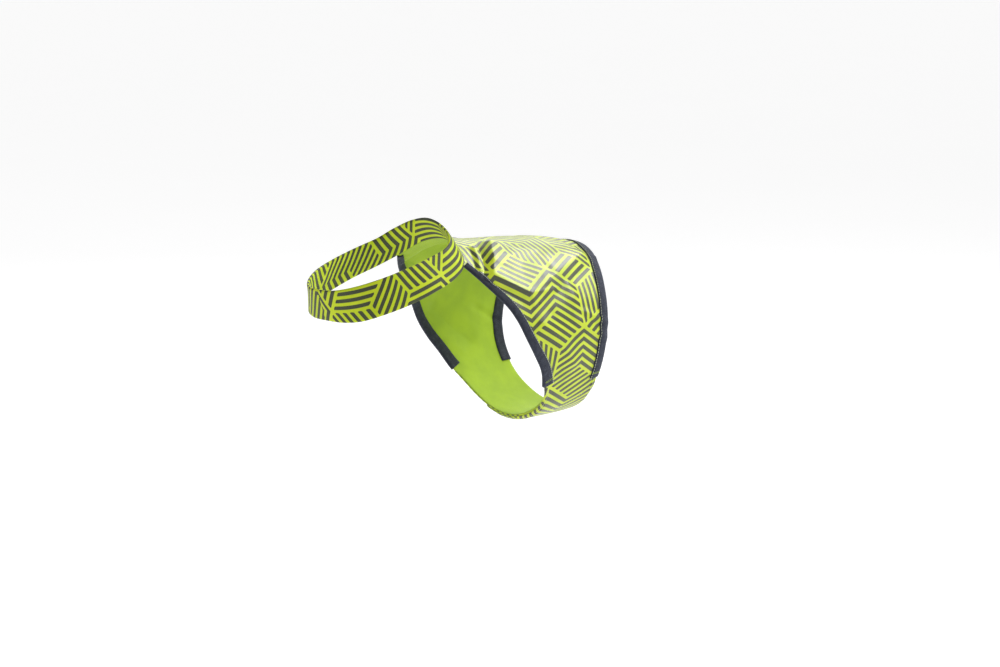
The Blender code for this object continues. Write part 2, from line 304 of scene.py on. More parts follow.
@dataclass
class Creases:
    """Soft ridges and facets of the panel.

    Each ridge runs from one point to another, with a width to either hand of it.
    """

    ridges: Array = table(
        # angle_0, y_0, angle_1, y_1, height, left_width, right_width
        (67, -64, 50, -73, 2.0, 3.4, 4.2),
        (71, -44, 54, -57, 5.2, 9.0, 30.0),
        (29.5, -33, 41, 4, 3.7, 12.0, 38.0),
        (41, 4, 57, 46, 3.8, 12.0, 34.0),
        (25, 14, 38, 9, 1.6, 8.0, 9.0),
        (7, 18, -3, 43, 1.2, 4.0, 5.0),
        (12, 28, 7, 44, 1.1, 3.6, 4.0),
        (8, -24, -18, 12, 1.9, 11.0, 12.0),
        (112, -42, 126, -58, 4.2, 26.0, 9.0),
        (141, -12, 136, 8, 2.0, 24.0, 12.0),
        (136, 8, 118, 44, 2.2, 26.0, 14.0),
        (172, -26, 196, 10, 1.8, 11.0, 12.0),
        (176, 22, 184, 42, 1.3, 4.4, 4.0),
        (160, 34, 164, 49, 1.0, 3.8, 4.0),
        (98, 20, 84, 60, 0.7, 12.0, 13.0),
    )
    # Three corners: angle, y, height.
    left_corners: Array = table((54, -57, 4.8), (28.7, -35.3, 5.6), (54, -4, 0.0))
    left_walls: Array = table(
        # angle_0, y_0, angle_1, y_1, height, slope
        (54, -57, 71, -44, 5.2, 0.6),
        (28.7, -35.3, 46, -70, 5.6, 0.7),
        (41, 6, 28.7, -35.3, 5.6, 0.45),
        (66, -52, 60, 10, 1.5, 0.3),
    )
    right_corners: Array = table((126, -58, 3.8), (149, -30, 4.8), (128, 2, 0.0))
    right_walls: Array = table(
        (112, -42, 126, -58, 4.2, 0.5),
        (134, -68, 149, -30, 4.8, 0.6),
        (149, -30, 137, 8, 4.8, 0.45),
        (120, 10, 114, -50, 1.5, 0.3),
    )
    roundness: float = 0.8
    base_softness: float = 0.02
    end_fade: float = 7.0
    join_power: float = 5.0

    def height(self, form: DressForm, angle: Array, y: Array) -> Array:
        """How far the creases lift the cloth at each place of the panel.

        Args:
            form: The form under it.
            angle: Angles round the form.
            y: Places along it.

        Returns:
            The heights.
        """
        total = np.zeros(np.broadcast(angle, y).shape)
        for corners, walls in ((self.left_corners, self.left_walls), (self.right_corners, self.right_walls)):
            total += FlatFacet(corners, walls).height(form, angle, y) ** self.join_power
        for *line, top, left_width, right_width in self.ridges:
            along, across, length = form.beside(line, angle, y)
            width = np.where(across > 0, left_width, right_width)
            away = np.sqrt(across**2 + self.roundness**2) - self.roundness
            beyond = np.maximum(0.0, np.abs(along - length / 2) - length / 2)
            near = 1 - away / width
            slope = (near + np.sqrt(near**2 + self.base_softness)) / 2
            total += (top * np.exp(-((beyond / self.end_fade) ** 2)) * slope) ** self.join_power
        return total ** (1 / self.join_power)


@dataclass
class SeamLine:
    """One line of stitches: points in millimetres and the way that the cloth faces at each."""

    points: Array
    facing: Array


@dataclass
class PanelShape:
    """The worn shape of the back panel: where its cloth is at any angle and place along the form."""

    form: DressForm
    ring: NeckRing
    creases: Creases
    wall: float = 1.2
    band_wall: float = 1.8
    seam_gap: float = 0.3
    patch_wall: float = 1.0
    tape_end: float = -34.0
    left_end: float = -112.0
    right_end: float = -54.0
    neck_fade: float = 30.0
    crease_fade: float = 16.0
    crease_fade_angle: float = 16.0
    patch_margin: float = 5.0
    flat_margin: float = 0.8
    climb_angles: tuple[float, ...] = (-112, -106, -102, -56, -48, -34)
    lift_past_patch: float = 3.0
    seam_marks: int = 121
    step_angle: float = 0.25
    step_y: float = 0.3
    front_edge: Array = table(
        # folded_angle, y
        (-128, -3.0),
        (-75, -3.0),
        (-63, -3.5),
        (-52, -5.5),
        (-43, -8.5),
        (-34, -13.7),
        (-20, -22.2),
        (-9, -32.2),
        (2, -41.7),
        (14, -50.2),
        (22, -56.7),
        (31, -66.2),
        (41, -76.7),
        (52.5, -86.7),
    )
    rear_edge: Array = table(
        (-128, 53.0),
        (-75, 53.0),
        (-60, 52.0),
        (-45, 49.5),
        (-34, 48.2),
        (-22, 47.2),
        (-5, 47.7),
        (12, 50.2),
        (29, 53.7),
        (48, 60.2),
        (66, 67.2),
        (90, 73.2),
        (114, 67.2),
    )

    def __post_init__(self) -> None:
        """Works out the lap of the left strap, and where each stretch of the neck seam is."""
        layer = self.patch_wall + self.seam_gap
        self.per_degree = self.form.per_degree
        self.under_loop = low = self.wall + self.seam_gap
        self.under_hook = self.under_loop + layer
        full = self.under_hook + layer
        self.climb_lifts = (low, low, full, full, self.lift_past_patch, 0.0)
        corner = self.ring.corner
        self.seam_stations = np.linspace(corner, 2 * self.ring.nape - corner, self.seam_marks)
        self.seam_angles = self.form.angle_of(self.ring.rims(self.seam_stations)[1])
        self.corner_angle = float(self.seam_angles[0])

    def seam(self, angle: Array) -> Array:
        """Lays the panel's cut edge along the neck seam, against the middle of the band's lower rim.

        Args:
            angle: Angles round the form.

        Returns:
            The points of the edge.
        """
        station = np.interp(angle, self.seam_angles, self.seam_stations)
        upper, lower = self.ring.rims(station)
        inset = (self.band_wall - self.wall) / 2
        return lower + unit(lower - upper) * self.seam_gap / 2 + self.ring.normal(station) * inset

    def sewn(self, angle: Array) -> Array:
        """Whether the panel's front edge is sewn to the band at each angle."""
        return folded(angle) > self.corner_angle - 1e-6

    def free_front(self, angle: Array) -> Array:
        """The Y of the armhole's edge at each angle, read on a little past the corner."""
        return smooth(self.front_edge, folded(angle))[..., 0]

    def front(self, angle: Array) -> Array:
        """The Y of the panel's front edge at each angle."""
        return np.where(self.sewn(angle), self.seam(angle)[..., 1], self.free_front(angle))

    def rear(self, angle: Array) -> Array:
        """The Y of the panel's rear edge at each angle."""
        return smooth(self.rear_edge, folded(angle))[..., 0]

    def strap_lift(self, angle: Array, y: Array) -> Array:
        """How far the left strap stands off the form.

        Its middle lies over the fastener, and its end and its margins come down to the right strap.

        Args:
            angle: Angles round the form.
            y: Places along it.

        Returns:
            The heights.
        """
        top = np.interp(angle, self.climb_angles, self.climb_lifts)
        inset = np.minimum(y - self.front(angle), self.rear(angle) - y)
        share = soft_step((inset - self.flat_margin) / (self.patch_margin - self.flat_margin))
        margin = np.minimum(top, self.under_loop)
        return margin + (top - margin) * share

    def inner(self, angle: Array, y: Array) -> Array:
        """The inner face of the cloth.

        Args:
            angle: Angles round the form.
            y: Places along it.

        Returns:
            The points.
        """
        angle, y = np.broadcast_arrays(np.asarray(angle, float), np.asarray(y, float))
        front, sewn = self.front(angle), self.sewn(angle)
        rise = soft_step((folded(angle) - self.tape_end) / self.crease_fade_angle)
        rise = np.where(sewn, rise * soft_step((y - front) / self.crease_fade), rise)
        lift = self.creases.height(self.form, angle, y) * rise + self.strap_lift(angle, y)
        shift = self.seam(angle) - self.form.point(angle, front)
        pull = np.where(sewn, 1 - soft_step((y - front) / self.neck_fade), 0.0)
        return self.form.point(angle, y, lift) + shift * pull[..., None]

    def facing(self, angle: Array, y: Array) -> Array:
        """The direction in which the cloth faces at each place.

        Args:
            angle: Angles round the form.
            y: Places along it.

        Returns:
            The directions, each measured on its own side of the neck seam's corner.
        """
        ends = []
        for step in (self.step_angle, -self.step_angle):
            same_side = self.sewn(angle + step) == self.sewn(angle)
            ends.append(self.inner(angle + np.where(same_side, step, 0.0), y))
        long_way = self.inner(angle, y + self.step_y) - self.inner(angle, y - self.step_y)
        return unit(np.cross(long_way, ends[0] - ends[1]))

    def surface(self, angle: Array, y: Array, out: Array) -> Array:
        """Points out millimetres above the cloth's inner face."""
        angle, y, out = np.broadcast_arrays(np.asarray(angle, float), np.asarray(y, float), out)
        return self.inner(angle, y) + self.facing(angle, y) * np.asarray(out, float)[..., None]

    def line(self, angle: Array, y: Array, out: Array) -> SeamLine:
        """A line of stitches out millimetres above the cloth's inner face."""
        return SeamLine(self.surface(angle, y, out), self.facing(angle, y))


# Meshes.


def link(name: str, data: bpy.types.ID) -> Object:
    """Adds an object to the scene.

    Args:
        name: Its name.
        data: Its mesh, light or camera.

    Returns:
        The object, at the origin.
    """
    made = bpy.data.objects.new(name, data)
    bpy.context.scene.collection.objects.link(made)
    return made


def new_object(
    name: str, points: Array, faces: Array, finishes: list[Material], slots: Array, cut: Array
) -> Object:
    """Makes a smooth closed mesh from points in millimetres, faces out.

    Args:
        name: The piece's name.
        points: Its points.
        faces: The points of each face.
        finishes: Its materials.
        slots: Which material each face has.
        cut: The flat place of each corner of each face, in millimetres.

    Returns:
        The object, at the origin.
    """
    mesh = bpy.data.meshes.new(name)
    mesh.from_pydata((points * MM).tolist(), [], faces.tolist())
    for finish in finishes:
        mesh.materials.append(finish)
    mesh.polygons.foreach_set("material_index", slots.astype(np.int32))
    mesh.uv_layers.new(name=CUT_MAP).data.foreach_set("uv", (cut * MM).astype(np.float32).ravel())
    work = bmesh.new()
    work.from_mesh(mesh)
    bmesh.ops.recalc_face_normals(work, faces=work.faces)
    work.to_mesh(mesh)
    work.free()
    mesh.shade_smooth()
    return link(name, mesh)


@dataclass
class Shell:
    """A thin closed wall between two grids of points, with round rims.

    The rows run along the piece. In a closed shell the last row repeats the first.
    """

    outer: Array
    inner: Array
    cut: Array
    closed: bool = False
    rim_angles: tuple[float, ...] = (40.0, 76.0)

    def rimmed(self, axis: int) -> None:
        """Adds rows that round off both rims across one axis.

        Args:
            axis: The grids' axis that runs from rim to rim.
        """
        outer, inner, cut = (np.moveaxis(grid, axis, 0).copy() for grid in (self.outer, self.inner, self.cut))
        for _ in range(2):
            middle = (outer[0] + inner[0]) / 2
            half = (outer[0] - inner[0]) / 2
            reach = np.linalg.norm(half, axis=-1, keepdims=True)
            away = unit(middle - (outer[1] + inner[1]) / 2)
            cut_away = unit(cut[0] - cut[1])
            outer[0] -= away * reach
            inner[0] -= away * reach
            cut[0] -= cut_away * reach
            cut_start = cut[0].copy()
            middle = middle - away * reach
            for angle in np.radians(self.rim_angles):
                out = middle + away * reach * math.sin(angle)
                outer = np.concatenate([[out + half * math.cos(angle)], outer])
                inner = np.concatenate([[out - half * math.cos(angle)], inner])
                cut = np.concatenate([[cut_start + cut_away * reach * angle], cut])
            outer, inner, cut = outer[::-1], inner[::-1], cut[::-1]
        self.outer, self.inner, self.cut = (np.moveaxis(grid, 0, axis) for grid in (outer, inner, cut))

    def build(self, name: str, finishes: list[Material]) -> Object:
        """Makes the mesh.

        Args:
            name: The piece's name.
            finishes: The finish of the outer face and the rims, and that of the inner face.

        Returns:
            The object.
        """
        self.rimmed(1)
        if not self.closed:
            self.rimmed(0)
        rows, columns = self.outer.shape[:2]
        made_rows = rows - 1 if self.closed else rows
        grid = np.arange(rows * columns).reshape(rows, columns)
        top = np.stack([grid[:-1, :-1], grid[1:, :-1], grid[1:, 1:], grid[:-1, 1:]], -1).reshape(-1, 4)
        rims = [grid[:, 0], grid[:, -1]] + ([] if self.closed else [grid[0], grid[-1]])
        band = np.concatenate([np.stack([rim[:-1], rim[1:], rim[1:], rim[:-1]], -1) for rim in rims])
        places = np.concatenate([top, top[:, ::-1], band])
        sides = np.concatenate([np.zeros_like(top), np.ones_like(top), np.tile([0, 0, 1, 1], (len(band), 1))])
        faces = sides * made_rows * columns + places // columns % made_rows * columns + places % columns
        slots = np.repeat([0, len(finishes) - 1, 0], [len(top), len(top), len(band)])
        points = np.concatenate([face[:made_rows].reshape(-1, 3) for face in (self.outer, self.inner)])
        return new_object(name, points, faces, finishes, slots, self.cut.reshape(-1, 2)[places])


def dress(piece: Object, slot: str, *nodes: str) -> Object:
    """Makes a piece ride with the vest, and stand for the solids that it replaces.

    Args:
        piece: The piece.
        slot: The record's material slot of the piece. Not used.
        nodes: The solids that it replaces.

    Returns:
        The piece.
    """
    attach(piece, "root")
    if nodes:
        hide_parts(*nodes)
    log.info("%s: %d faces, stands for %s", piece.name, len(piece.data.polygons), nodes or "nothing")
    return piece


# Finishes.


class Graph:
    """Adds nodes to a tree in few words."""

    def __init__(self, tree: NodeTree) -> None:
        """Keeps the tree."""
        self.tree = tree

    def add(self, kind: str, given: Given | None = None, **settings: object) -> Node:
        """Adds a node.

        Args:
            kind: Its type.
            given: What each input is linked or set to, by its name or number.
            settings: Its own settings, made before its inputs are.

        Returns:
            The node.
        """
        node = self.tree.nodes.new(kind)
        for name, value in settings.items():
            setattr(node, name, value)
        for key, value in (given or {}).items():
            if isinstance(value, Socket):
                self.tree.links.new(value, node.inputs[key])
            else:
                node.inputs[key].default_value = value
        return node

    def math(self, operation: str, *values: object) -> Socket:
        """The result of a Math node."""
        return self.add("ShaderNodeMath", dict(enumerate(values)), operation=operation).outputs[0]

    def turned(self, u: object, v: object, cosine: object, sine: object) -> Socket:
        """How far a place is along a direction."""
        return self.math("ADD", self.math("MULTIPLY", u, cosine), self.math("MULTIPLY", v, sine))

    def third(self, value: object) -> Socket:
        """A whole number counted round by three."""
        return self.math("FLOORED_MODULO", value, 3.0)

    def ramp(
        self, value: object, low: float, high: float, to_low: float = 0.0, to_high: float = 1.0
    ) -> Socket:
        """A value mapped smoothly from one range to another."""
        given = dict(enumerate((value, low, high, to_low, to_high)))
        return self.add("ShaderNodeMapRange", given, interpolation_type="SMOOTHSTEP").outputs[0]

    def blend(self, share: object, first: object, second: object) -> Socket:
        """Two colours mixed."""
        return self.add("ShaderNodeMix", {0: share, 6: first, 7: second}, data_type="RGBA").outputs[2]

    def noise(self, scale: float, detail: float = 2.0, rough: float = 0.5) -> Socket:
        """Adds a noise in the piece's own space.

        Args:
            scale: Its turns for each metre.
            detail: Its layers.
            rough: How strong the fine layers are.

        Returns:
            Its value.
        """
        place = self.add("ShaderNodeTexCoord").outputs["Object"]
        given = {"Vector": place, "Scale": scale, "Detail": detail, "Roughness": rough}
        return self.add("ShaderNodeTexNoise", given).outputs["Fac"]

    def bump(self, height: object, distance: float, strength: float, under: Socket | None = None) -> Socket:
        """Adds a bump.

        Args:
            height: The relief.
            distance: Its depth in metres.
            strength: Its strength.
            under: The normal that it lies on, if any.

        Returns:
            The bumped normal.
        """
        given = {"Height": height, "Distance": distance, "Strength": strength}
        if under:
            given["Normal"] = under
        return self.add("ShaderNodeBump", given).outputs["Normal"]

    def flat_cut(self, shift: tuple[float, float] = (0.0, 0.0)) -> tuple[Socket, Socket]:
        """Reads the place on the cloth's flat cut.

        Args:
            shift: How far the print is moved on it, in millimetres.

        Returns:
            Millimetres along the cut and round it.
        """
        given = {"Vector": self.add("ShaderNodeUVMap", uv_map=CUT_MAP).outputs[0]}
        given |= {"Scale": (1 / MM, 1 / MM, 1.0), "Location": (*shift, 0.0)}
        split = self.add("ShaderNodeSeparateXYZ", {0: self.add("ShaderNodeMapping", given).outputs[0]})
        return split.outputs[0], split.outputs[1]

    def weave(self, u: Socket, v: Socket, pitch: float) -> Socket:
        """Adds a plain weave.

        Args:
            u: Millimetres along the cut.
            v: Millimetres round it.
            pitch: Millimetres from thread to thread.

        Returns:
            -1 on a thread and 1 between threads.
        """
        turn = 2 * math.pi / pitch
        waves = [self.math("SINE", self.math("MULTIPLY", way, turn)) for way in (u, v)]
        return self.math("MULTIPLY", *waves)


def rgba(colour: Colour) -> tuple[float, float, float, float]:
    """A colour with no transparency."""
    return (*colour, 1.0)


@dataclass(frozen=True)
class Finish:
    """A finish. Each kind says what its surface shader gets."""

    name: str

    def surface(self, g: Graph) -> Given:
        """The inputs of the surface shader, by name."""
        raise NotImplementedError

    def make(self) -> Material:
        """Makes the material.

        Returns:
            The material.
        """
        made = bpy.data.materials.new(self.name)
        made.use_nodes = True
        made.node_tree.nodes.clear()
        g = Graph(made.node_tree)
        shader = g.add("ShaderNodeBsdfPrincipled", self.surface(g))
        g.add("ShaderNodeOutputMaterial", {"Surface": shader.outputs[0]})
        return made


@dataclass(frozen=True)
class CellStripes:
    """Stripes in cells: rhombs in three directions, each striped along one of its own two sides."""

    pitch: float = 5.8
    stripes_in_cell: int = 5
    grey_share: float = 0.54
    end_gap: float = 1.35
    end_roundness: float = 0.5
    edge_blur: float = 0.018
    seed: float = 3.0
    group_name: str = "cell_direction"
    shares_of_gap: tuple[float, ...] = (1.0, 0.45, -0.45, -1.0)

    def direction_group(self) -> NodeTree:
        """A group that says which of three ways the stripes run at a place, and which way its cell lacks.

        Returns:
            The group, made once.
        """
        tree = bpy.data.node_groups.get(self.group_name)
        if tree:
            return tree
        tree = bpy.data.node_groups.new(self.group_name, "ShaderNodeTree")
        for in_out, names in (("INPUT", ("Along", "Round")), ("OUTPUT", ("Direction", "Absent"))):
            for name in names:
                tree.interface.new_socket(name, in_out=in_out, socket_type="NodeSocketFloat")
        g = Graph(tree)
        given = g.add("NodeGroupInput").outputs
        side = self.pitch * self.stripes_in_cell
        rows = []
        for turn in (0.0, math.radians(120), math.radians(240)):
            across = g.turned(given["Along"], given["Round"], math.cos(turn), math.sin(turn))
            rows.append(g.math("FLOOR", g.math("DIVIDE", across, side)))
        total = g.math("ADD", g.math("ADD", rows[0], rows[1]), rows[2])
        low = g.math("LESS_THAN", total, -1.5)
        kind = g.third(g.math("SUBTRACT", rows[0], rows[1]))
        upper_absent = g.third(g.math("SUBTRACT", 3.0, kind))
        lower_absent = g.third(g.math("ADD", kind, 1.0))
        change = g.math("SUBTRACT", lower_absent, upper_absent)
        absent = g.math("ADD", upper_absent, g.math("MULTIPLY", low, change))
        cell: Given = {2: self.seed}
        for k in range(2):
            moved = g.math("MULTIPLY", low, g.math("COMPARE", absent, float(k), 0.1))
            cell[k] = g.math("ADD", rows[k], moved)
        place = g.add("ShaderNodeCombineXYZ", cell).outputs[0]
        chance = g.add("ShaderNodeTexWhiteNoise", {"Vector": place}).outputs["Value"]
        turn_on = g.math("ADD", g.math("GREATER_THAN", chance, 0.5), 1.0)
        direction = g.third(g.math("ADD", absent, turn_on))
        g.add("NodeGroupOutput", {"Direction": direction, "Absent": absent})
        return tree

    def direction(self, g: Graph, u: object, v: object) -> tuple[Socket, Socket]:
        """Reads the stripes' direction at a place.

        Args:
            g: The material's graph.
            u: Millimetres along the cut.
            v: Millimetres round it.

        Returns:
            The direction, and the one that its cell lacks.
        """
        node = g.add("ShaderNodeGroup", node_tree=self.direction_group())
        g.tree.links.new(u, node.inputs["Along"])
        g.tree.links.new(v, node.inputs["Round"])
        return node.outputs["Direction"], node.outputs["Absent"]

    def mask(self, g: Graph, u: Socket, v: Socket) -> Socket:
        """Where the stripes are printed.

        Args:
            g: The material's graph.
            u: Millimetres along the cut.
            v: Millimetres round it.

        Returns:
            1 in a stripe and 0 between stripes.
        """
        here, absent = self.direction(g, u, v)
        turn = g.math("MULTIPLY", here, math.radians(120))
        c, s = g.math("COSINE", turn), g.math("SINE", turn)
        turns = g.math("DIVIDE", g.turned(u, v, c, s), self.pitch)
        phase = g.math("ABSOLUTE", g.math("SUBTRACT", g.math("FRACT", turns), 0.5))
        half = self.grey_share / 2
        stripe = g.ramp(phase, half - self.edge_blur, half + self.edge_blur, 1.0, 0.0)
        share = g.math("DIVIDE", phase, half)
        bulge = g.math("MULTIPLY", g.math("MULTIPLY", share, share), self.end_roundness)
        gap = g.math("ADD", bulge, self.end_gap)
        crossed = g.math("SUBTRACT", g.math("SUBTRACT", 3.0, here), absent)
        for share_of_gap in self.shares_of_gap:
            step = g.math("MULTIPLY", gap, share_of_gap)
            along = g.math("SUBTRACT", u, g.math("MULTIPLY", s, step))
            round_it = g.math("ADD", v, g.math("MULTIPLY", c, step))
            beyond, _ = self.direction(g, along, round_it)
            stopped = g.math("COMPARE", beyond, crossed, 0.1)
            stripe = g.math("MULTIPLY", stripe, g.math("SUBTRACT", 1.0, stopped))
        return stripe


@dataclass(frozen=True)
class PrintedCloth(Finish):
    """Lime coated cloth with grey reflective stripes, a plain weave under the coat."""

    shift: tuple[float, float]
    lime: Colour = (0.61, 0.725, 0.030)
    lime_deep: Colour = (0.53, 0.67, 0.018)
    grey: Colour = (0.060, 0.071, 0.038)
    # Painted glints: the grey is lighter in tiny random spots, for light caught by the print's glass beads.
    grey_glint: Colour = (0.095, 0.108, 0.064)
    black: Colour = (0.0, 0.0, 0.0)
    lime_roughness: float = 0.37
    grey_roughness: float = 0.30
    cloud_roughness: float = 0.12
    # Painted shade between the threads of the weave: how far the colour goes towards black there.
    gap_shade: float = 0.10
    # Painted glow: the lime gives off a little light of its own, unlit, standing in for fluorescence.
    glow: float = 0.04
    specular: float = 0.5
    thread_pitch: float = 0.42
    stripes: CellStripes = CellStripes()

    def surface(self, g: Graph) -> Given:
        """Says what the surface shader gets.

        Args:
            g: The material's graph.

        Returns:
            The shader's inputs, by name.
        """
        u, v = g.flat_cut(self.shift)
        printed = self.stripes.mask(g, u, v)
        weave = g.math("MULTIPLY", g.math("ADD", g.weave(u, v, self.thread_pitch), 1.0), 0.5)
        cloudy = g.noise(scale=55.0, detail=3.0)
        # Painted glints: tiny random spots where the grey print goes lighter.
        bead_glints = g.noise(scale=2600.0, detail=1.0)
        lime = g.blend(g.ramp(cloudy, 0.35, 0.7), rgba(self.lime), rgba(self.lime_deep))
        grey = g.blend(g.ramp(bead_glints, 0.42, 0.66), rgba(self.grey), rgba(self.grey_glint))
        colour = g.blend(printed, lime, grey)
        change = self.grey_roughness - self.lime_roughness
        rough = g.math("ADD", g.math("MULTIPLY", printed, change), self.lime_roughness)
        clouds = g.math("MULTIPLY", g.math("SUBTRACT", cloudy, 0.5), self.cloud_roughness)
        drape = g.bump(g.noise(scale=95.0, rough=0.45), distance=0.0009, strength=0.35)
        creased = g.bump(g.noise(scale=330.0), 0.00016, 0.5, under=drape)
        printed_edge = g.bump(printed, 0.00006, 0.8, under=creased)
        return {
            # Painted shade: a little darker between the threads of the weave.
            "Base Color": g.blend(g.math("MULTIPLY", weave, self.gap_shade), colour, rgba(self.black)),
            "Roughness": g.math("ADD", rough, clouds),
            "Specular IOR Level": self.specular,
            # Painted glow: light given off by the lime between the grey stripes.
            "Emission Color": g.blend(printed, rgba(self.lime), rgba(self.black)),
            "Emission Strength": self.glow,
            "Normal": g.bump(weave, 0.00003, 0.5, under=printed_edge),
        }


@dataclass(frozen=True)
class ClothReverse(Finish):
    """The unprinted inner side of the lime cloth, matt, with its weave bare."""

    name: str = "cloth_reverse"
    # Both colours are the reverse's own duller lime, darkened further as painted shade of the wearer inside
    # the vest.
    lime: Colour = (0.41, 0.575, 0.03)
    dull_and_gap_shade: Colour = (0.35, 0.505, 0.03)
    thread_pitch: float = 0.42

    def surface(self, g: Graph) -> Given:
        """Says what the surface shader gets.

        Args:
            g: The material's graph.

        Returns:
            The shader's inputs, by name.
        """
        waves = g.weave(*g.flat_cut(), self.thread_pitch)
        clouds = g.ramp(g.noise(scale=60.0, detail=3.0), 0.3, 0.7)
        lime = g.blend(clouds, rgba(self.lime), rgba(self.dull_and_gap_shade))
        drape = g.bump(g.noise(scale=110.0), distance=0.0007, strength=0.35)
        return {
            # Painted shade: the colour goes towards the duller one between the threads of the weave;
            # elsewhere the duller one is random tone.
            "Base Color": g.blend(g.ramp(waves, -0.2, 1.0, 0.0, 0.25), lime, rgba(self.dull_and_gap_shade)),
            "Roughness": 0.78,
            "Specular IOR Level": 0.3,
            "Sheen Weight": 0.15,
            "Sheen Roughness": 0.5,
            "Normal": g.bump(waves, 0.00004, 0.6, under=drape),
        }


@dataclass(frozen=True)
class WovenTape(Finish):
    """Dark woven tape, ribbed across, a little furry and worn pale in random patches."""

    name: str = "binding_tape"
    dark: Colour = (0.015, 0.018, 0.031)
    worn: Colour = (0.046, 0.052, 0.075)
    bloom: Colour = (0.55, 0.60, 0.75)
    rib_pitch: float = 0.85
    thread_pitch: float = 0.5

    def surface(self, g: Graph) -> Given:
        """Says what the surface shader gets.

        Args:
            g: The material's graph.

        Returns:
            The shader's inputs, by name.
        """
        u, v = g.flat_cut()
        along = g.math("MULTIPLY", u, 2 * math.pi / self.rib_pitch)
        across = g.math("MULTIPLY", v, 2 * math.pi / self.thread_pitch)
        ribs = g.math("ABSOLUTE", g.math("SINE", g.math("MULTIPLY", along, 0.5)))
        twill = g.math("SINE", g.math("ADD", across, along))
        relief = g.math("ADD", ribs, g.math("MULTIPLY", twill, 0.35))
        cloudy = g.noise(scale=260.0, detail=4.0, rough=0.6)
        fluff = g.noise(scale=1700.0, rough=0.6)
        share = g.turned(g.ramp(cloudy, 0.35, 0.75), g.ramp(fluff, 0.5, 0.8), 0.6, 0.4)
        uneven = g.bump(cloudy, distance=0.0004, strength=0.5)
        furry = g.bump(fluff, 0.00012, 0.5, under=uneven)
        return {
            "Base Color": g.blend(share, rgba(self.dark), rgba(self.worn)),
            "Roughness": 0.82,
            "Specular IOR Level": 0.35,
            "Sheen Weight": 0.35,
            "Sheen Roughness": 0.45,
            "Sheen Tint": rgba(self.bloom),
            "Normal": g.bump(relief, 0.00012, 0.8, under=furry),
        }


@dataclass(frozen=True)
class SewingThread(Finish):
    """Twisted thread."""

    colour: Colour
    shade: float = 0.7

    def surface(self, g: Graph) -> Given:
        """Says what the surface shader gets.

        Args:
            g: The material's graph.

        Returns:
            The shader's inputs, by name.
        """
        plies = g.noise(scale=3000.0, detail=1.0)
        deep = tuple(c * self.shade for c in self.colour)
        return {
            "Base Color": g.blend(plies, rgba(self.colour), rgba(deep)),
            "Roughness": 0.5,
            "Sheen Weight": 0.3,
            "Normal": g.bump(plies, distance=0.00008, strength=0.6),
        }


@dataclass(frozen=True)
class FastenerPile(Finish):
    """Dark hook-and-loop fastener: a felt of loops, or rows of stiff hooks."""

    grain: float
    depth: float
    dark: Colour = (0.018, 0.020, 0.022)
    # Painted highlight: the pile is lighter where it stands high, at its tips, and darker in its hollows.
    tip_highlight: Colour = (0.10, 0.105, 0.11)

    def surface(self, g: Graph) -> Given:
        """Says what the surface shader gets.

        Args:
            g: The material's graph.

        Returns:
            The shader's inputs, by name.
        """
        pile = g.noise(self.grain, detail=4.0, rough=0.7)
        return {
            # Painted highlight and shade, following the pile's bump.
            "Base Color": g.blend(g.ramp(pile, 0.45, 0.75), rgba(self.dark), rgba(self.tip_highlight)),
            "Roughness": 0.9,
            "Sheen Weight": 0.4,
            "Normal": g.bump(pile, self.depth, strength=0.9),
        }


@dataclass(frozen=True)
class PaleFloor(Finish):
    """A plain pale floor that glows a little."""

    name: str = "floor"
    tone: Colour = (0.28, 0.28, 0.282)
    cloud: Colour = (0.25, 0.25, 0.252)
    glow: float = 0.86

    def surface(self, g: Graph) -> Given:
        """Says what the surface shader gets.

        Args:
            g: The material's graph.

        Returns:
            The shader's inputs, by name.
        """
        return {
            "Base Color": g.blend(g.noise(scale=3.0), rgba(self.tone), rgba(self.cloud)),
            "Roughness": 0.7,
            "Emission Color": (1.0, 1.0, 1.0, 1.0),
            "Emission Strength": self.glow,
        }


# Sewing.


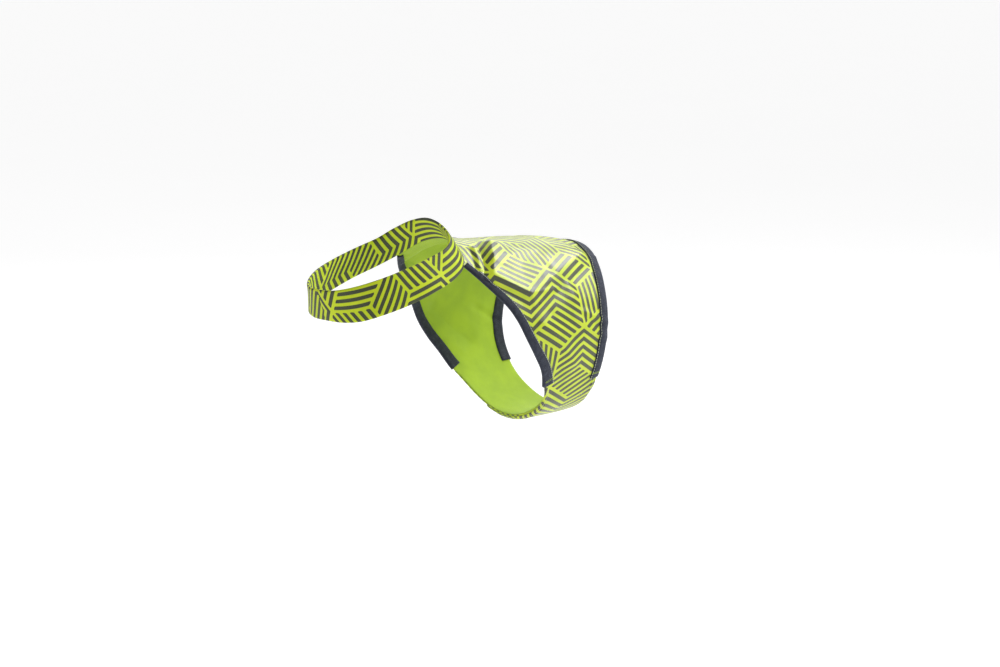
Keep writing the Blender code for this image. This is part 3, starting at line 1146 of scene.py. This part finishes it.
@dataclass
class Stitching:
    """All stitches of one thread and size, laid along their seam lines."""

    name: str
    lines: list[SeamLine]
    finish: Material
    pitch: float
    length: float
    thickness: float = 0.5
    flatness: float = 0.75
    lean: float = 6.0
    seed: int = 5
    segments: int = 8
    rings: int = 6

    def inputs(self) -> dict[str, object]:
        """The values of the tree's named inputs.

        Returns:
            Lengths in metres, the lean in radians, and the finish.
        """
        return {
            "Pitch": self.pitch * MM,
            "Length": self.length * MM,
            "Thickness": self.thickness * MM,
            "Flatness": self.flatness,
            "Lean": math.radians(self.lean),
            "Finish": self.finish,
        }

    def tree(self) -> NodeTree:
        """The stitch tree: points along each line, and a rice-shaped stitch on each, turned as the cloth is.

        Returns:
            The tree.
        """
        tree = bpy.data.node_groups.new(self.name + "_stitches", "GeometryNodeTree")
        face = tree.interface
        face.new_socket("Geometry", in_out="INPUT", socket_type="NodeSocketGeometry")
        for name in self.inputs():
            kind = "NodeSocketMaterial" if name == "Finish" else "NodeSocketFloat"
            face.new_socket(name, in_out="INPUT", socket_type=kind)
        face.new_socket("Geometry", in_out="OUTPUT", socket_type="NodeSocketGeometry")
        g = Graph(tree)
        given = g.add("NodeGroupInput").outputs

        def node(kind: str, inputs: Given | None = None, out: str | int = 0, **settings: object) -> Socket:
            """Adds a node and returns one of its outputs."""
            return g.add(kind, inputs, **settings).outputs[out]

        curve = node("GeometryNodeMeshToCurve", {0: given["Geometry"]})
        spacing = {"Curve": curve, "Length": given["Pitch"]}
        spaced = node("GeometryNodeResampleCurve", spacing, mode="LENGTH")
        align = "FunctionNodeAlignRotationToVector"
        stored = {"Name": FACING}
        facing = node("GeometryNodeInputNamedAttribute", stored, "Attribute", data_type="FLOAT_VECTOR")
        ahead = node(align, {"Vector": node("GeometryNodeInputTangent")}, axis="X")
        upright = node(align, {"Rotation": ahead, "Vector": facing}, axis="Z", pivot_axis="X")
        spread = {"Seed": self.seed, 2: g.math("MULTIPLY", given["Lean"], -1.0), 3: given["Lean"]}
        turn = node("FunctionNodeRandomValue", spread, 1, data_type="FLOAT")
        turn = node("FunctionNodeEulerToRotation", {0: node("ShaderNodeCombineXYZ", {2: turn})})
        leaning = node("FunctionNodeRotateRotation", {0: upright, 1: turn}, rotation_space="LOCAL")
        ball = {"Segments": self.segments, "Rings": self.rings, "Radius": 0.5}
        rice = node("GeometryNodeMeshUVSphere", ball)
        height = g.math("MULTIPLY", given["Thickness"], given["Flatness"])
        size = node("ShaderNodeCombineXYZ", {0: given["Thickness"], 1: height, 2: given["Length"]})
        rice = node("GeometryNodeTransform", {"Geometry": rice, "Scale": size})
        rice = node("GeometryNodeTransform", {"Geometry": rice, "Rotation": (0.0, math.radians(90), 0.0)})
        laying = {"Points": spaced, "Instance": rice, "Rotation": leaning}
        real = node("GeometryNodeRealizeInstances", {0: node("GeometryNodeInstanceOnPoints", laying)})
        shaded = node("GeometryNodeSetShadeSmooth", {0: real})
        dressed = node("GeometryNodeSetMaterial", {"Geometry": shaded, "Material": given["Finish"]})
        g.add("NodeGroupOutput", {0: dressed})
        return tree

    def paths(self) -> Object:
        """The seam lines as one mesh of edges, each point with the way that the cloth faces.

        Returns:
            The object.
        """
        points = np.concatenate([line.points for line in self.lines])
        facing = np.concatenate([line.facing for line in self.lines])
        edges, start = [], 0
        for line in self.lines:
            count = len(line.points)
            edges += [(start + k, start + k + 1) for k in range(count - 1)]
            start += count
        mesh = bpy.data.meshes.new(self.name + "_paths")
        mesh.from_pydata((points * MM).tolist(), edges, [])
        stored = mesh.attributes.new(FACING, "FLOAT_VECTOR", "POINT")
        stored.data.foreach_set("vector", facing.astype(np.float32).ravel())
        return link(self.name + "_paths", mesh)

    def build(self, slot: str) -> Object:
        """Lays the stitches as one plain mesh.

        Args:
            slot: The record's material slot of the piece.

        Returns:
            The dressed piece.
        """
        source = self.paths()
        modifier = source.modifiers.new("stitches", "NODES")
        modifier.node_group = self.tree()
        values = self.inputs()
        for socket in modifier.node_group.interface.items_tree:
            if socket.in_out == "INPUT" and socket.name in values:
                modifier[socket.identifier] = values[socket.name]
        depsgraph = bpy.context.evaluated_depsgraph_get()
        mesh = bpy.data.meshes.new_from_object(source.evaluated_get(depsgraph), depsgraph=depsgraph)
        mesh.name = self.name
        source.modifiers.remove(modifier)
        bpy.data.objects.remove(source)
        return dress(link(self.name, mesh), slot)


# The pieces.


@dataclass
class Panel:
    """The back panel with its two belly straps, cut in one."""

    shape: PanelShape
    flat_size: tuple[float, float] = (0.163, 0.532)
    flat_area: float = 0.048
    rows: int = 400
    columns: int = 110
    row_density: Array = table(
        # folded_angle, density
        (-112, 0.5),
        (-40, 0.5),
        (-28, 1.0),
        (24, 1.1),
        (44, 1.9),
        (76, 1.9),
        (90, 1.2),
    )
    walk_steps: int = 4000
    front_share: float = 0.62
    rear_density: float = 0.7
    hem_width: float = 4.0
    hem_height: float = 0.5
    hem_fade: float = 0.7
    hem_fade_angle: float = 1.5
    stitch_inset: float = 3.1
    stitch_rise: float = 0.1
    neck_inset: float = 1.5
    neck_margin: float = 1.0
    hem_marks: tuple[int, int] = (60, 30)
    neck_marks: int = 120
    facing_seam: Array = table(
        # angle, y
        (-40.0, 47.0),
        (-45.0, 40.0),
        (-50.2, 34.0),
        (-54.6, 23.5),
        (-57.5, 17.0),
        (-60.0, 9.5),
        (-61.5, 1.5),
    )

    def __post_init__(self) -> None:
        """Works out the angle at which the right strap ends."""
        self.last = 360 + self.shape.right_end

    def angles(self) -> Array:
        """The angles of the rows.

        Returns:
            Angles that are closer where the cloth is creased, with both corners among them.
        """
        first, corner = self.shape.left_end, self.shape.corner_angle
        fine = np.linspace(first, self.last, self.walk_steps)
        density = np.interp(folded(fine), self.row_density[:, 0], self.row_density[:, 1])
        count = np.concatenate([[0.0], np.cumsum(density[1:] * np.diff(fine))])
        count *= self.rows / count[-1]
        marks = np.interp([first, corner, 180 - corner, self.last], fine, count)
        parts = [np.linspace(a, b, round(b - a) + 1)[:-1] for a, b in zip(marks, marks[1:])]
        return np.interp(np.append(np.concatenate(parts), marks[-1]), count, fine)

    def shares(self) -> Array:
        """The places of the columns from the front edge to the rear one.

        Returns:
            Shares from 0 to 1, closer towards the front.
        """
        split = self.front_share
        reach = split * (1 - self.rear_density * (1 - split))
        return np.interp(np.linspace(0, 1, self.columns), (0, split, 1), (0, reach, 1))

    def hem(self, angle: Array, y: Array) -> Array:
        """How much thicker the cloth is where it is turned under, round the straps.

        Args:
            angle: Angles round the form.
            y: Places along it.

        Returns:
            The heights.
        """
        shape = self.shape
        ends = np.minimum(angle - shape.left_end, self.last - angle) * shape.per_degree
        inset = np.minimum(np.minimum(y - shape.front(angle), shape.rear(angle) - y), ends)
        on_strap = soft_step((shape.tape_end - folded(angle)) / self.hem_fade_angle)
        return self.hem_height * on_strap * (1 - soft_step((inset - self.hem_width) / self.hem_fade))

    def build(self, printed: Material, reverse: Material) -> Object:
        """Makes the piece.

        Args:
            printed: The finish of the outer face.
            reverse: The finish of the inner face.

        Returns:
            The dressed piece.
        """
        shape = self.shape
        angles = self.angles()[:, None]
        front, rear = shape.front(angles), shape.rear(angles)
        y = front + (rear - front) * self.shares()
        inner = shape.inner(angles, y)
        outer = inner + shape.facing(angles, y) * (shape.wall + self.hem(angles, y))[..., None]
        cut = np.stack(np.broadcast_arrays(y, angles * shape.per_degree), -1)
        piece = Shell(outer, inner, cut).build("panel_cloth", [printed, reverse])
        dress(piece, "printed_cloth", "back_panel")
        return piece

    def line(self, angle: Array, y: Array) -> SeamLine:
        """A line of stitches on the outer face."""
        return self.shape.line(angle, y, self.shape.wall + self.hem(angle, y) + self.stitch_rise)

    def lines(self) -> list[SeamLine]:
        """The topstitches round each strap's hem, over the left strap where its facing ends, and by the neck.

        Returns:
            The lines.
        """
        shape, inset = self.shape, self.stitch_inset
        side_marks, end_marks = self.hem_marks
        lines = []
        for start, stop in ((shape.tape_end, shape.left_end), (180 - shape.tape_end, self.last)):
            way = math.copysign(1.0, stop - start)
            last = stop - way * inset / shape.per_degree
            angle = np.linspace(start + way * -self.hem_fade_angle, last, side_marks)
            lines.append(self.line(angle, shape.rear(angle) - inset))
            lines.append(self.line(angle, shape.front(angle) + inset))
            across = np.linspace(shape.front(last) + inset, shape.rear(last) - inset, end_marks)
            lines.append(self.line(np.full_like(across, last), across))
        run = run_along(self.facing_seam)
        seam = smooth(np.column_stack([run, self.facing_seam]), np.linspace(0, run[-1], side_marks))
        lines.append(self.line(seam[:, 0], seam[:, 1]))
        corner = shape.corner_angle + self.neck_margin
        angle = np.linspace(corner, 180 - corner, self.neck_marks)
        lines.append(self.line(angle, shape.front(angle) + self.neck_inset))
        return lines


@dataclass
class NeckBand:
    """The folded band round the neck, a flat tube of the printed cloth."""

    ring: NeckRing
    flat_size: tuple[float, float] = (0.027, 0.375)
    wall: float = 1.8
    rows: int = 360
    columns: int = 28
    crown: float = 0.35
    fullness: float = 0.7
    ripple: float = 0.35
    ripple_rates: tuple[float, float, float] = (2.9, 1.5, 1.3)
    seam_inset: float = 1.5
    seam_rise: float = 0.3
    seam_overrun: float = 0.1
    seam_marks: int = 140

    def build(self, printed: Material) -> Object:
        """Makes the piece.

        Args:
            printed: The finish of both faces.

        Returns:
            The dressed piece.
        """
        station = np.linspace(0, 2 * self.ring.nape, self.rows + 1)[:, None]
        share = np.linspace(0, 1, self.columns)[None, :]
        upper, lower = self.ring.rims(station)
        normal = self.ring.normal(station)
        flat = lower + (upper - lower) * share[..., None]
        arch = np.sin(np.pi * share)
        pillow = self.crown * arch**self.fullness
        wave = self.ripple * uneven_wave(station, *self.ripple_rates) * arch
        inner = flat + normal * (wave - pillow)[..., None]
        outer = flat + normal * (self.wall + wave + pillow)[..., None]
        along = run_along((upper + lower)[:, 0] / 2)[:, None]
        width = np.linalg.norm(upper - lower, axis=-1)
        cut = np.stack(np.broadcast_arrays(width * share, along), -1)
        piece = Shell(outer, inner, cut, closed=True).build("neck_band_cloth", [printed])
        dress(piece, "printed_cloth", "neck_band")
        return piece

    def line(self) -> SeamLine:
        """The topstitch beside the neck seam, on the band.

        Returns:
            The line.
        """
        first = self.ring.corner - self.seam_overrun
        station = np.linspace(first, 2 * self.ring.nape - first, self.seam_marks)
        upper, lower = self.ring.rims(station)
        normal = self.ring.normal(station)
        points = lower + unit(upper - lower) * self.seam_inset + normal * (self.wall + self.seam_rise)
        return SeamLine(points, normal)


class Edge(Enum):
    """The panel's bound edges, each with its solid."""

    ARMHOLE_LEFT = "armhole_binding_left"
    ARMHOLE_RIGHT = "armhole_binding_right"
    REAR = "rear_binding"


@dataclass
class EdgeTape:
    """A tape folded over one of the panel's edges and sewn through."""

    shape: PanelShape
    edge: Edge
    flat_width: float = 0.019
    wall: float = 0.85
    gap: float = 0.25
    corner_clearance: float = 0.4
    walk_steps: int = 400
    rows_per_mm: float = 0.9
    leg_columns: int = 9
    fold_columns: int = 7
    crown: float = 0.3
    ripple: float = 0.12
    ripple_rates: tuple[float, float, float] = (0.9, 2.0, 0.37)
    lip_height: float = 0.35
    lip_columns: float = 1.6
    least_step: float = 0.1
    stitch_inset: float = 0.95
    stitch_rise: float = 0.12
    tack_place: float = 6.0
    tack_margin: float = 0.6
    tack_marks: int = 8
    tack_gap: float = 0.45
    tack_rise: float = 0.34
    widths: Array = table(
        # folded_angle, width
        (-34, 9.2),
        (-22, 7.8),
        (-8, 6.8),
        (10, 6.2),
        (30, 5.6),
        (44, 4.8),
        (53, 4.0),
    )
    rear_width: float = 8.6

    def __post_init__(self) -> None:
        """Walks the edge at even steps, and finds which way leads into the panel at each."""
        shape, rear = self.shape, self.edge is Edge.REAR
        first, last = shape.tape_end, 180 - shape.tape_end if rear else shape.corner_angle
        if self.edge is Edge.ARMHOLE_RIGHT:
            first, last = 180 - first, 180 - last
        angles = np.linspace(first, last, self.walk_steps)
        ys = shape.rear(angles) if rear else shape.free_front(angles)
        flat = np.stack([angles * shape.per_degree, ys], -1)
        run = run_along(flat)
        self.length = run[-1] - (0.0 if rear else self.corner_clearance)
        self.along = np.linspace(0, self.length, round(self.length * self.rows_per_mm))
        self.flat = np.stack([np.interp(self.along, run, flat[:, k]) for k in (0, 1)], -1)
        ahead = unit(np.gradient(self.flat, axis=0))
        inward = np.stack([-ahead[:, 1], ahead[:, 0]], -1)
        self.inward = inward * np.sign(inward[:, 1:]) * (-1.0 if rear else 1.0)
        angle = self.flat[:, 0] / shape.per_degree
        width = smooth(self.widths, folded(angle))[..., 0]
        self.width = np.full(len(angle), self.rear_width) if rear else width
        self.sewn_height = shape.wall + self.gap + self.wall

    def places(self, depth: Array, row: object = slice(None)) -> tuple[Array, Array]:
        """The angle and y at depths into the panel from its edge, in every row or some."""
        place = self.flat[row] + self.inward[row] * depth[..., None]
        return place[..., 0] / self.shape.per_degree, place[..., 1]

    def section(self, skin: float) -> tuple[Array, Array]:
        """Depth and height of one skin of the tape: down the outer leg, round the fold, up the inner leg.

        Args:
            skin: How far the skin lies from the panel's faces.

        Returns:
            Depths and heights, a row for each place along the edge.
        """
        wall = self.shape.wall
        share = np.linspace(1, 0, self.leg_columns)[None, :-1]
        depth = self.width[:, None] * share
        settle = soft_step((1 - share) * self.leg_columns / self.lip_columns)
        settle = self.lip_height + (1 - self.lip_height) * settle
        lumps = self.ripple * uneven_wave(self.along, *self.ripple_rates)[:, None]
        rise = (skin + self.crown * np.sin(np.pi * share) + lumps * (1 - share)) * settle
        reach = wall / 2 + skin
        turn = np.linspace(math.pi / 2, -math.pi / 2, self.fold_columns)
        down, up = np.broadcast_to(-skin * settle, rise.shape), wall + rise
        bend = (-np.cos(turn) * reach, wall / 2 + np.sin(turn) * reach)
        fold = [np.broadcast_to(way, (len(depth), len(turn))) for way in bend]
        depths = np.concatenate([depth, fold[0], depth[:, ::-1]], 1)
        return depths, np.concatenate([up, fold[1], down[:, ::-1]], 1)

    def build(self, finish: Material) -> Object:
        """Makes the piece.

        Args:
            finish: The tape's finish.

        Returns:
            The dressed piece.
        """
        skins = []
        for skin in (self.gap + self.wall, self.gap):
            depths, heights = self.section(skin)
            skins.append(self.shape.surface(*self.places(depths, np.s_[:, None]), heights))
        steps = np.abs(np.diff(depths, axis=1, prepend=depths[:, :1])) + self.least_step
        across = np.cumsum(steps, axis=1)
        cut = np.stack(np.broadcast_arrays(self.along[:, None], across), -1)
        piece = Shell(*skins, cut).build(self.edge.value.replace("binding", "tape"), [finish])
        dress(piece, "binding_tape", self.edge.value)
        return piece

    def line(self) -> SeamLine:
        """The topstitch along the tape, just inside its inner edge."""
        places = self.places(self.width - self.stitch_inset)
        return self.shape.line(*places, self.sewn_height + self.stitch_rise)

    def tacks(self) -> list[SeamLine]:
        """The bar tacks across the tape, two rows near each free end.

        Returns:
            A line for each row.
        """
        lines = []
        from_ends = [self.along] + ([self.length - self.along] if self.edge is Edge.REAR else [])
        for distance in from_ends:
            for back in (self.tack_place, self.tack_place + self.tack_gap):
                i = int(np.argmin(np.abs(distance - back)))
                depth = np.linspace(self.tack_margin, self.width[i] - self.tack_margin, self.tack_marks)
                lines.append(self.shape.line(*self.places(depth, i), self.sewn_height + self.tack_rise))
        return lines


@dataclass
class FastenerPatch:
    """One side of the hook-and-loop fastener, between the straps."""

    shape: PanelShape
    name: str
    node: str
    lift: float
    first: float = -104.0
    last: float = -60.0
    edge_inset: float = 5.0
    rows: int = 70
    columns: int = 48

    def build(self, finish: Material) -> Object:
        """Makes the piece.

        Args:
            finish: The pile.

        Returns:
            The dressed piece.
        """
        shape = self.shape
        angles = np.linspace(self.first, self.last, self.rows)[:, None]
        front, rear = shape.front(angles) + self.edge_inset, shape.rear(angles) - self.edge_inset
        y = front + (rear - front) * np.linspace(0, 1, self.columns)
        outer, inner = (shape.form.point(angles, y, self.lift + out) for out in (shape.patch_wall, 0.0))
        cut = np.stack(np.broadcast_arrays(y, angles * shape.per_degree), -1)
        return dress(Shell(outer, inner, cut).build(self.name, [finish]), "fastener", self.node)


# The studio.


@dataclass(frozen=True)
class SoftBox:
    """A soft light that looks at the vest, from degrees, metres and watts."""

    name: str
    azimuth: float
    elevation: float
    away: float
    size: tuple[float, float]
    power: float

    def place(self) -> None:
        """Adds the light."""
        data = bpy.data.lights.new(self.name, "AREA")
        data.shape = "RECTANGLE"
        data.size, data.size_y = self.size
        data.energy = self.power
        way = look_from(self.azimuth, self.elevation)
        light = link(self.name, data)
        light.location = way * self.away
        light.rotation_euler = way.to_track_quat("Z", "Y").to_euler()


@dataclass
class Studio:
    """Plain floor, soft white light and the camera."""

    azimuth: float = 49.0
    elevation: float = 9.0
    distance: float = 2.5
    pixels_per_metre: float = 1180.0
    frame_size: tuple[int, int] = (1000, 667)
    origin_pixel: tuple[float, float] = (510.0, 237.5)
    sensor: float = 36.0
    clip: tuple[float, float] = (0.1, 50.0)
    floor_height: float = -0.30
    floor_rings: tuple[float, ...] = (0.02, 0.5, 2.0, 6.0)
    floor_scale: float = 40.0 / 6.0
    floor_corners: int = 48
    horizon_light: float = 1.0
    horizon: tuple[float, float] = (0.02, 0.2)
    sky_light: float = 0.24
    boxes: tuple[SoftBox, ...] = (
        SoftBox("back_box", 172.0, 43.0, 1.8, (1.5, 0.7), 30.0),
        SoftBox("top_box", 230.0, 28.0, 1.8, (1.0, 0.8), 7.5),
        SoftBox("side_box", 138.0, 28.0, 1.5, (0.8, 0.6), 8.5),
        SoftBox("front_box", 0.0, 20.0, 2.2, (1.6, 1.6), 3.0),
    )

    def place_camera(self) -> None:
        """Puts the camera where the origin falls on its pixel."""
        a = math.radians(self.azimuth)
        back = look_from(self.azimuth, self.elevation)
        right = Vector((math.cos(a), math.sin(a), 0.0))
        up = back.cross(right)
        aside = (self.frame_size[0] / 2 - self.origin_pixel[0]) / self.pixels_per_metre
        above = (self.origin_pixel[1] - self.frame_size[1] / 2) / self.pixels_per_metre
        data = bpy.data.cameras.new("camera")
        data.sensor_width = self.sensor
        data.lens = self.sensor * self.pixels_per_metre * self.distance / self.frame_size[0]
        data.clip_start, data.clip_end = self.clip
        camera = link("camera", data)
        place = back * self.distance + right * aside + up * above
        turn = Matrix((right, up, back)).transposed()
        camera.matrix_world = Matrix.Translation(place) @ turn.to_4x4()
        bpy.context.scene.camera = camera

    def lay_floor(self) -> None:
        """A round pale floor under the vest."""
        count = self.floor_corners
        turns = np.arange(count) * math.tau / count
        points = []
        for ring in self.floor_rings:
            radius = ring * self.floor_scale
            points += [(radius * math.cos(t), radius * math.sin(t), self.floor_height) for t in turns]
        faces = [tuple(range(count))]
        for start in range(0, count * (len(self.floor_rings) - 1), count):
            for n in range(count):
                m = (n + 1) % count
                faces.append((start + count + n, start + count + m, start + m, start + n))
        mesh = bpy.data.meshes.new("floor")
        mesh.from_pydata(points, [], faces)
        mesh.materials.append(PaleFloor().make())
        link("floor", mesh)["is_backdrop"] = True

    def light(self) -> None:
        """White surroundings, bright at the horizon, and the soft boxes."""
        world = bpy.data.worlds.new("surroundings")
        bpy.context.scene.world = world
        world.use_nodes = True
        g = Graph(world.node_tree)
        way = g.add("ShaderNodeTexCoord").outputs["Generated"]
        height = g.add("ShaderNodeSeparateXYZ", {0: way}).outputs[2]
        background = world.node_tree.nodes["Background"]
        background.inputs["Color"].default_value = (1.0, 1.0, 1.0, 1.0)
        strength = g.ramp(height, *self.horizon, self.horizon_light, self.sky_light)
        world.node_tree.links.new(strength, background.inputs["Strength"])
        for box in self.boxes:
            box.place()
        bpy.context.scene.view_settings.view_transform = "Standard"
        bpy.context.scene.view_settings.look = "None"

    def build(self) -> None:
        """Sets up the studio."""
        self.place_camera()
        self.lay_floor()
        self.light()


@dataclass
class Vest:
    """The whole vest, piece by piece."""

    shape: PanelShape
    ring: NeckRing
    panel_print: PrintedCloth = PrintedCloth("panel_print", (8.0, 11.0))
    band_print: PrintedCloth = PrintedCloth(
        "band_print", (19.0, 6.0), lime_roughness=0.5, grey_roughness=0.46, specular=0.2
    )
    pale_thread: SewingThread = SewingThread("pale_thread", (0.72, 0.78, 0.58))
    lime_thread: SewingThread = SewingThread("lime_thread", (0.55, 0.75, 0.05))
    loops: FastenerPile = FastenerPile("fastener_loops", grain=900.0, depth=0.0006)
    hooks: FastenerPile = FastenerPile("fastener_hooks", grain=1500.0, depth=0.0004)

    def build_fastener(self) -> None:
        """The two sides of the fastener."""
        loop_lift, hook_lift = self.shape.under_loop, self.shape.under_hook
        FastenerPatch(self.shape, "loop_pile", "loop_patch", loop_lift).build(self.loops.make())
        FastenerPatch(self.shape, "hook_pile", "hook_patch", hook_lift).build(self.hooks.make())

    def build_sewing(self, cloth_lines: list[SeamLine], tapes: list[EdgeTape]) -> None:
        """Topstitches and bar tacks.

        Args:
            cloth_lines: The lines of the cloth's topstitches.
            tapes: The tapes.
        """
        pale, lime = self.pale_thread.make(), self.lime_thread.make()
        tape_lines = [tape.line() for tape in tapes]
        tacks = [line for tape in tapes for line in tape.tacks()]
        Stitching("tape_topstitch", tape_lines, pale, pitch=2.4, length=2.05).build("binding_tape")
        Stitching("cloth_topstitch", cloth_lines, pale, pitch=2.6, length=1.9).build("printed_cloth")
        small = Stitching("bar_tacks", tacks, lime, pitch=0.9, length=1.0, thickness=0.4, lean=25.0)
        small.build("binding_tape")

    def build(self) -> None:
        """Builds every piece in order."""
        panel, band = Panel(self.shape), NeckBand(self.ring)
        panel.build(self.panel_print.make(), ClothReverse().make())
        band.build(self.band_print.make())
        tapes = [EdgeTape(self.shape, edge) for edge in Edge]
        tape_finish = WovenTape().make()
        for tape in tapes:
            tape.build(tape_finish)
        self.build_fastener()
        self.build_sewing([*panel.lines(), band.line()], tapes)


def write_sizes(cad_box: tuple[Vector, Vector]) -> None:
    """Measures the solids' box and the visual model's box, as plain lists that are not kept.

    Args:
        cad_box: The box before anything was built.
    """
    boxes = {"cad": cad_box, "visual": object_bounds()}
    {name: [list(corner) for corner in box] for name, box in boxes.items()}


def main() -> None:
    """Builds the studio and the vest."""
    logging.basicConfig(level=logging.INFO, format="%(message)s")
    cad_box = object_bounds()
    Studio().build()
    ring = NeckRing()
    Vest(PanelShape(DressForm(), ring, Creases()), ring).build()
    write_sizes(cad_box)


if __name__ == "__main__":
    main()
